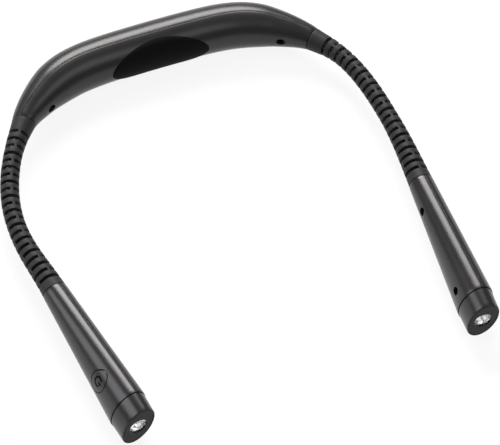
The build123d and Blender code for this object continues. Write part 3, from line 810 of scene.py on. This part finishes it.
gloss_charcoal = grained(
    "gloss_charcoal_tube", (0.0215, 0.0205, 0.0215), (0.0255, 0.0245, 0.0255),
    roughness=0.28, spread=0.02, grain=1800, depth=0.000001, specular=0.45,
)


def tube_half(run):
    # The tube's half width and half thickness
    share = run / tube_length
    return tuple(a + (b - a) * share for a, b in zip(tube_start_half, tube_end_half))


def lamp_axes(lamp):
    # The lamp's own place and directions: across its oval, towards its outer half, and to its tip
    point, across, _, along = lamp
    wide = across.cross(along)
    return point, wide, along.cross(wide), along


lamps = {name: (side, lamp_axes(layout[-1])) for name, (side, layout) in arms.items()}


def tube_shell(name, lamp, way):
    point, wide, out, along = lamp
    sections = []
    for index in range(tube_stations + 1):
        run = tube_length * index / tube_stations
        half_wide, half_thick = tube_half(run)
        ease = max(tube_end_ease - min(run, tube_length - run), 0)
        profile = half_shell_profile(
            half_thick - ease, half_wide - ease, 0, 1, tube_wall, plug_radius, tube_steps,
        )
        base = point + along * run
        sections.append(tuple([base + out * (x * way) + wide * y for x, y in row] for row in profile))
    return shell_object(name, sections)


def tube_hole_feet(side, lamp):
    # Where the axes of the two screws cross the tube's middle plane
    point, wide, _, along = lamp
    return [point + along * run - wide * (side * rise) for run, rise in tube_screw_places]


def button_outline(grow=0.0):
    # Oval outline as (along, across) points, leaning a little towards the tip
    points = []
    for c, s in round_steps(button_steps):
        u, v = (button_half_along + grow) * c, (button_half_across + grow) * s
        points.append((
            button_place + u * math.cos(button_lean) - v * math.sin(button_lean),
            button_aside + u * math.sin(button_lean) + v * math.cos(button_lean),
        ))
    return points


for name, (side, lamp) in lamps.items():
    point, wide, out, along = lamp
    outer_half = tube_shell("tube_outer_half_" + name, lamp, 1)
    inner_half = tube_shell("tube_inner_half_" + name, lamp, -1)
    for foot in tube_hole_feet(side, lamp):
        mouth, hole_floor = foot - out * cutter_reach, foot - out * tube_hole_floor
        cut_away(inner_half, round_bar("tube_hole_cutter", mouth, hole_floor, hole_radius))
    if name == "left":
        rim = [point + along * u + wide * v for u, v in button_outline(button_gap)]
        ends = [[place + out * lift for place in rim] for lift in (window_floor, cutter_reach)]
        cut_away(outer_half, plain_bar("button_window_cutter", *ends))
    for piece, node in ((outer_half, "tube_outer_shell_"), (inner_half, "tube_inner_shell_")):
        dress(piece, gloss_charcoal)
        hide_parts(node + name)
        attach(piece, "lamp_" + name)


# Power button
# An oval cap of the same plastic, flush with the tube and standing in a
# fine groove, with a printed power symbol: an open ring and a short bar.

button_proud = 0.00003
button_edge = 0.00025
button_edge_dip = 0.0002
button_skirt = 0.0036
button_rings = 20
button_crowding = 0.8
symbol_radius = 0.0023
symbol_line = 0.0010
symbol_bar = 0.0023
symbol_gap = 38
symbol_ring_steps = 64
symbol_bar_steps = 8
symbol_proud = 0.00004
symbol_sunk = 0.0001

point, wide, out, along = lamps["left"][1]


def on_button(run, aside, lift):
    # Point of the tube's outer side at that place, raised off it
    half_wide, half_thick = tube_half(run)
    height = (half_thick + lift) * math.sqrt(max(1 - (aside / (half_wide + lift)) ** 2, 0))
    return point + along * run + wide * aside + out * height


outline = button_outline()
vertices = []
for ring in range(button_rings + 1):
    reach = (ring / button_rings) ** button_crowding
    t = min((1 - reach) * button_half_along / button_edge, 1)
    lift = button_proud - button_edge_dip * (1 - math.sqrt(1 - (1 - t) ** 2))
    for u, v in outline:
        run, aside = button_place + (u - button_place) * reach, button_aside + (v - button_aside) * reach
        vertices.append(on_button(run, aside, lift))
skirt = len(vertices)
vertices += [point + along * u + wide * v + out * button_skirt for u, v in outline]
faces = wall_faces(button_rings + 2, button_steps)
faces.append(tuple(range(skirt, skirt + button_steps)))
button = mesh_object("power_button_cap", vertices, faces)
dress(button, gloss_charcoal)
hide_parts("power_button")
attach(button, "button")

printed_black = grained(
    "printed_symbol_black", (0.002, 0.002, 0.002), (0.003, 0.003, 0.003),
    roughness=0.7, spread=0.03, grain=2000, depth=0.000005, specular=0.05,
)


def printed_strip(rows):
    # A thin closed layer on the button from rows of (along, across) points
    across = len(rows[0])
    layer = len(rows) * across
    lifts = (button_proud + symbol_proud, button_proud - symbol_sunk)
    vertices = [on_button(u, v, lift) for lift in lifts for row in rows for u, v in row]
    faces, edges = [], []
    for row in range(len(rows) - 1):
        first = row * across
        for corner in range(first, first + across - 1):
            face = (corner, corner + 1, corner + across + 1, corner + across)
            faces += [face, tuple(index + layer for index in reversed(face))]
        edges += [(corner, corner + across) for corner in (first, first + across - 1)]
    for first in (0, layer - across):
        edges += [(corner, corner + 1) for corner in range(first, first + across - 1)]
    return vertices, faces + [(a, b, b + layer, a + layer) for a, b in edges]


line_places = [symbol_line / 2 * way for way in (-1, -0.5, 0, 0.5, 1)]
ring_rows, bar_rows = [], []
gap = math.radians(symbol_gap)
for index in range(symbol_ring_steps + 1):
    turn = gap + (2 * math.pi - 2 * gap) * index / symbol_ring_steps
    ring_rows.append([
        (button_place + reach * math.cos(turn), button_aside + reach * math.sin(turn))
        for reach in (symbol_radius + place for place in line_places)
    ])
for index in range(symbol_bar_steps + 1):
    run = button_place + symbol_line / 2 + symbol_bar * index / symbol_bar_steps
    bar_rows.append([(run, button_aside + place) for place in line_places])
symbol = joined("power_symbol", [printed_strip(ring_rows), printed_strip(bar_rows)])
dress(symbol, printed_black)
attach(symbol, "button")


# Screws
# Plated self-tapping screws with a round head and a cross slot, deep in the
# holes of the neck half and of the inner tube halves.

screw_head_radius = 0.00195
screw_head_height = 0.0016
screw_head_chamfer = 0.0001
screw_dome = 0.0006
screw_dome_reach = 0.0007
screw_dome_steps = 7
screw_shank_radius = 0.00108
screw_root_radius = 0.0008
screw_thread = 0.0007
screw_point = 0.002
screw_shank_steps = 32
screw_slot_half_long = 0.0011
screw_slot_half_wide = 0.0003
screw_slot_depth = 0.0008
screw_slot_top = 0.003
band_screw_length = 0.0125
tube_screw_length = 0.0058


def plated(name, colour, paler, scale, roughness, roughest=None):
    # Bright metal with faint marks, of an even gloss unless a second roughness is given
    material, tree = new_finish(name)
    marks = noise_pattern(tree, scale)
    coat(tree, {
        "Base Color": mixed_colour(tree, marks, colour, paler),
        "Metallic": 1.0,
        "Roughness": mixed_value(tree, marks, roughness, roughest) if roughest else roughness,
    })
    return material


plated_steel = plated(
    "plated_screw_steel", (0.30, 0.30, 0.31), (0.42, 0.42, 0.43), scale=1200, roughness=0.25, roughest=0.45,
)


def quarter_round(start, height, radius, steps):
    # Profile points of a quarter dome, from its edge; with a height below 0 it falls
    leans = [math.pi / 2 * index / steps for index in range(steps + 1)]
    return [(start + height * math.sin(lean), radius * math.cos(lean)) for lean in leans]


def cross_slot_screw(seat, axis, length):
    # A domed head with a cross cut in it, and a threaded shank that tapers to its point
    across = axis.orthogonal().normalized()
    place = (seat, across, axis.cross(across), axis)
    profile = [(0, 0), (0, screw_head_radius - screw_head_chamfer), (-screw_head_chamfer, screw_head_radius)]
    flat_radius = screw_head_radius - screw_dome_reach
    dome = quarter_round(screw_dome - screw_head_height, -screw_dome, screw_dome_reach, screw_dome_steps)
    profile += [(run, flat_radius + reach) for run, reach in dome]
    profile.append((-screw_head_height, 0))
    head = joined("screw_head", [turned_piece(place, profile)])
    slot_top, slot_floor = seat - axis * screw_slot_top, seat - axis * (screw_head_height - screw_slot_depth)
    for way in (place[1], place[2]):
        long_way, short_way = way * screw_slot_half_long, axis.cross(way) * screw_slot_half_wide
        outline = [long_way * a + short_way * b for a, b in corners]
        ends = [[level + corner for corner in outline] for level in (slot_top, slot_floor)]
        cut_away(head, plain_bar("screw_slot_cutter", *ends))
    threads = [(0.0, 0)]
    for index in range(int(length / screw_thread)):
        run = screw_thread * index
        slim = min((length - run) / screw_point, 1)
        threads += [(run, screw_root_radius * slim), (run + screw_thread / 2, screw_shank_radius * slim)]
    threads.append((length, 0))
    shank = joined("screw_shank", [turned_piece(place, threads, screw_shank_steps)])
    for part in (head, shank):
        dress(part, plated_steel)
    return head, shank


def fit_screws(node, body, seats):
    parts = [part for seat in seats for part in cross_slot_screw(*seat)]
    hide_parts(node)
    for part in parts:
        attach(part, body)


band_seats = [(band_hole_floor(side), Vector((0, 1, 0)), band_screw_length) for side in (-1, 1)]
fit_screws("band_screws", "band", band_seats)
for name, (side, lamp) in lamps.items():
    out = lamp[2]
    tube_seats = [
        (foot - out * tube_screw_seat, out, tube_screw_length) for foot in tube_hole_feet(side, lamp)
    ]
    fit_screws("tube_screws_" + name, "lamp_" + name, tube_seats)


# Lamp caps
# Short oval cups of the tube's plastic, a hair slimmer than the tube. The end
# face has a fine matt finish round the lens.

cap_length = 0.0109
cap_step = 0.0004
cap_end_half = (0.0122, 0.00785)
cap_rim = 0.0004
cap_gap = 0.0003
cap_bevel = 0.0002
cap_spigot = 0.005
cap_spigot_play = 0.00015
cap_bore_front = 0.0060
cap_bore_back = 0.0055
cap_steps = 96
cap_side_rows = 8
cap_rim_rows = 5
face_groove_inset = 0.0003
face_groove_wide = 0.0003
face_groove_deep = 0.0004
face_groove_bevel = 0.00005
face_wall = 0.0016
face_found_within = 0.00001
face_found_turn = 0.95
lens_radius = 0.00445

matt_charcoal = grained(
    "matt_charcoal_face", (0.0115, 0.0105, 0.0115), (0.0155, 0.0145, 0.0155),
    roughness=0.55, spread=0.04, grain=3200, depth=0.00003, specular=0.25,
)


def oval(half, inset=0.0):
    # An oval as (across, out) points
    return [((half[0] - inset) * c, (half[1] - inset) * s) for c, s in round_steps(cap_steps)]


def inner_circle(outline, radius):
    # A circle whose points lie the same way from the middle as the outline's
    return [(u / math.hypot(u, v) * radius, v / math.hypot(u, v) * radius) for u, v in outline]


# The cap's rows of points, each with its run from the tube's start: along the
# outside from the spigot to the rim
cap_start, face_front = tube_length + cap_gap, tube_length + cap_length
start_half = tuple(half - cap_step for half in tube_end_half)
spigot_inset = tube_wall + cap_spigot_play
rows = [
    (tube_length - cap_spigot, oval(tube_half(tube_length - cap_spigot), spigot_inset)),
    (cap_start, oval(tube_end_half, spigot_inset)),
    (cap_start, oval(start_half, cap_bevel)),
    (cap_start + cap_bevel, oval(start_half)),
]
side_run = face_front - cap_rim - cap_start - cap_bevel
for index in range(1, cap_side_rows + 1):
    share = index / cap_side_rows
    half = tuple(a + (b - a) * share for a, b in zip(start_half, cap_end_half))
    rows.append((cap_start + cap_bevel + side_run * share, oval(half)))
for index in range(1, cap_rim_rows + 1):
    turn = math.pi / 2 * index / cap_rim_rows
    rows.append((
        face_front - cap_rim + cap_rim * math.sin(turn), oval(cap_end_half, cap_rim * (1 - math.cos(turn))),
    ))
# Across the face, over its fine groove, to the lens hole, and down its wall
groove_far = face_groove_inset + face_groove_wide
for inset, sink in (
    (face_groove_inset, 0), (face_groove_inset, face_groove_deep), (groove_far, face_groove_deep),
    (groove_far, face_groove_bevel), (groove_far + face_groove_bevel, 0),
):
    rows.append((face_front - sink, oval(cap_end_half, cap_rim + inset)))
face_outline = oval(cap_end_half, cap_rim)
edge_share = 1 - (groove_far + face_groove_bevel) / cap_end_half[1]
hole_outline = inner_circle(face_outline, lens_radius + cap_bevel)
for share in (0.25, 0.5, 0.75, 1):
    rows.append((face_front, [
        (u * edge_share * (1 - share) + a * share, v * edge_share * (1 - share) + b * share)
        for (u, v), (a, b) in zip(face_outline, hole_outline)
    ]))
for run, radius in (
    (face_front - cap_bevel, lens_radius), (face_front - face_wall, lens_radius),
    (face_front - face_wall, cap_bore_front), (tube_length - cap_spigot, cap_bore_back),
):
    rows.append((run, inner_circle(face_outline, radius)))

for name, (_, (point, wide, out, along)) in lamps.items():
    vertices = [point + along * run + wide * u + out * v for run, outline in rows for u, v in outline]
    cap = mesh_object(
        "lamp_cap_" + name + "_shell", vertices, wall_faces(len(rows), cap_steps, closed=True),
    )
    cap.data.materials.append(gloss_charcoal)
    cap.data.materials.append(matt_charcoal)
    for polygon in cap.data.polygons:
        run = (polygon.center - point).dot(along)
        if run > face_front - face_found_within and abs(polygon.normal.dot(along)) > face_found_turn:
            polygon.material_index = 1
    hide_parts("lamp_cap_" + name)
    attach(cap, "lamp_" + name)


# Optics
# A crowned clear lens in each face, held from behind by its flange, a bright
# plated cup of petal-shaped facets, and the light source in the cup's throat.

lens_gap = 0.00005
lens_flange_radius = 0.0052
lens_flange = 0.0009
lens_edge_inset = 0.0009
lens_crown = 0.0007
lens_crown_steps = 11
lens_steps = 96
cup_length = 0.0060
cup_mouth = 0.0047
cup_throat = 0.0021
cup_wall = 0.0004
cup_petals = 12
cup_rows = 5
cup_crease_angle = 4
source_radius = 0.0016
source_base = 0.0005
source_dome = 0.00128
source_dome_steps = 8
source_steps = 48

clear_plastic, tree = new_finish("clear_lens_plastic")
coat(tree, {
    "Base Color": (1.0, 1.0, 0.99, 1),
    "IOR": 1.49,
    "Transmission Weight": 1.0,
    "Roughness": mixed_value(tree, noise_pattern(tree, scale=700), 0.01, 0.03),
})

plated_cup = plated(
    "plated_cup", (0.80, 0.81, 0.83), (0.92, 0.92, 0.93), scale=500, roughness=0.05,
)

glowing_source, tree = new_finish("glowing_source")
coat(tree, {
    "Base Color": (0.90, 0.87, 0.70, 1),
    "Roughness": 0.3,
    "Emission Color": (1.0, 0.97, 0.95, 1),
    "Emission Strength": 1.6,
})


def petal_cup(name, place):
    # A cup of offset rows of facets inside a plain thin wall
    point, across, up, along = place
    rings = []
    for row in range(cup_rows + 1):
        share = row / cup_rows
        radius = math.sqrt(cup_throat ** 2 + (cup_mouth ** 2 - cup_throat ** 2) * share)
        rings.append((cup_length * share, radius, 0.5 * (row % 2)))
    rings.append((cup_length, lens_flange_radius, 0.5 * (cup_rows % 2)))
    rings.append((0, cup_throat + cup_wall, 0))
    vertices = [
        point + along * run + (across * c + up * s) * radius
        for run, radius, shift in rings for c, s in round_steps(cup_petals, shift)
    ]
    faces = []
    for row in range(cup_rows):
        for index in range(cup_petals):
            after = (index + 1) % cup_petals
            low, low_after = row * cup_petals + index, row * cup_petals + after
            high, high_after = low + cup_petals, low_after + cup_petals
            if row % 2:
                faces += [(low, high_after, high), (low, low_after, high_after)]
            else:
                faces += [(low, low_after, high), (low_after, high_after, high)]
    mouth, rim, back = (row * cup_petals for row in (cup_rows, cup_rows + 1, cup_rows + 2))
    for index in range(cup_petals):
        after = (index + 1) % cup_petals
        faces.append((mouth + index, mouth + after, rim + after, rim + index))
        faces += [(rim + index, rim + after, back + index), (rim + after, back + after, back + index)]
        faces.append((back + index, back + after, after, index))
    return mesh_object(name, vertices, faces, cup_crease_angle)


flange_front = face_front - face_wall - lens_gap
flange_back = flange_front - lens_flange
lens_rim = lens_radius - lens_gap
lens_profile = [
    (flange_back, 0), (flange_back, lens_flange_radius), (flange_front, lens_flange_radius),
    (flange_front, lens_rim),
]
lens_profile += quarter_round(face_front - lens_edge_inset, lens_crown, lens_rim, lens_crown_steps)
cup_start = flange_back - lens_gap - cup_length
source_back, source_front = cup_start - lens_gap, cup_start + source_base
source_profile = [(source_back, 0), (source_back, source_radius)]
source_profile += quarter_round(source_front, source_dome, source_radius, source_dome_steps)

for name, (_, place) in lamps.items():
    point, wide, out, along = place
    lens = joined("clear_lens_" + name, [turned_piece(place, lens_profile, lens_steps)])
    cup = petal_cup("petal_cup_" + name, (point + along * cup_start, wide, out, along))
    source = joined("light_source_" + name, [turned_piece(place, source_profile, source_steps)])
    for piece, node, material, kind in (
        (lens, "lens_", clear_plastic, "lens_plastic"),
        (cup, "reflector_", plated_cup, "reflector_metal"),
        (source, "led_", glowing_source, "led_phosphor"),
    ):
        dress(piece, material)
        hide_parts(node + name)
        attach(piece, "lamp_" + name)


# Inner pieces
# The cell in its shrink sleeve, the green boards, the charging socket and the
# leads sit out of sight inside the band and the tubes.

inner_grain_depth = 0.00001

# These pieces keep their shape from the CAD and get their finish here
for name, colour, paler, roughness, spread, grain, nodes in (
    ("cell_sleeve_blue", (0.03, 0.12, 0.35), (0.04, 0.15, 0.40), 0.3, 0.04, 900, ["battery_cell"]),
    (
        "board_green", (0.01, 0.10, 0.04), (0.02, 0.14, 0.06), 0.35, 0.05, 1500,
        ["charge_board", "switch_board", "lamp_board_left", "lamp_board_right"],
    ),
    ("switch_black", (0.02, 0.02, 0.02), (0.03, 0.03, 0.03), 0.5, 0.05, 1500, ["push_switch"]),
    ("lead_red", (0.45, 0.02, 0.02), (0.52, 0.03, 0.02), 0.4, 0.04, 1200, ["lead_left", "lead_right"]),
):
    material = grained(name, colour, paler, roughness, spread, grain, depth=inner_grain_depth)
    for node in nodes:
        dress(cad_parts[node], material)
dress(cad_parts["charge_socket"], plated_steel)
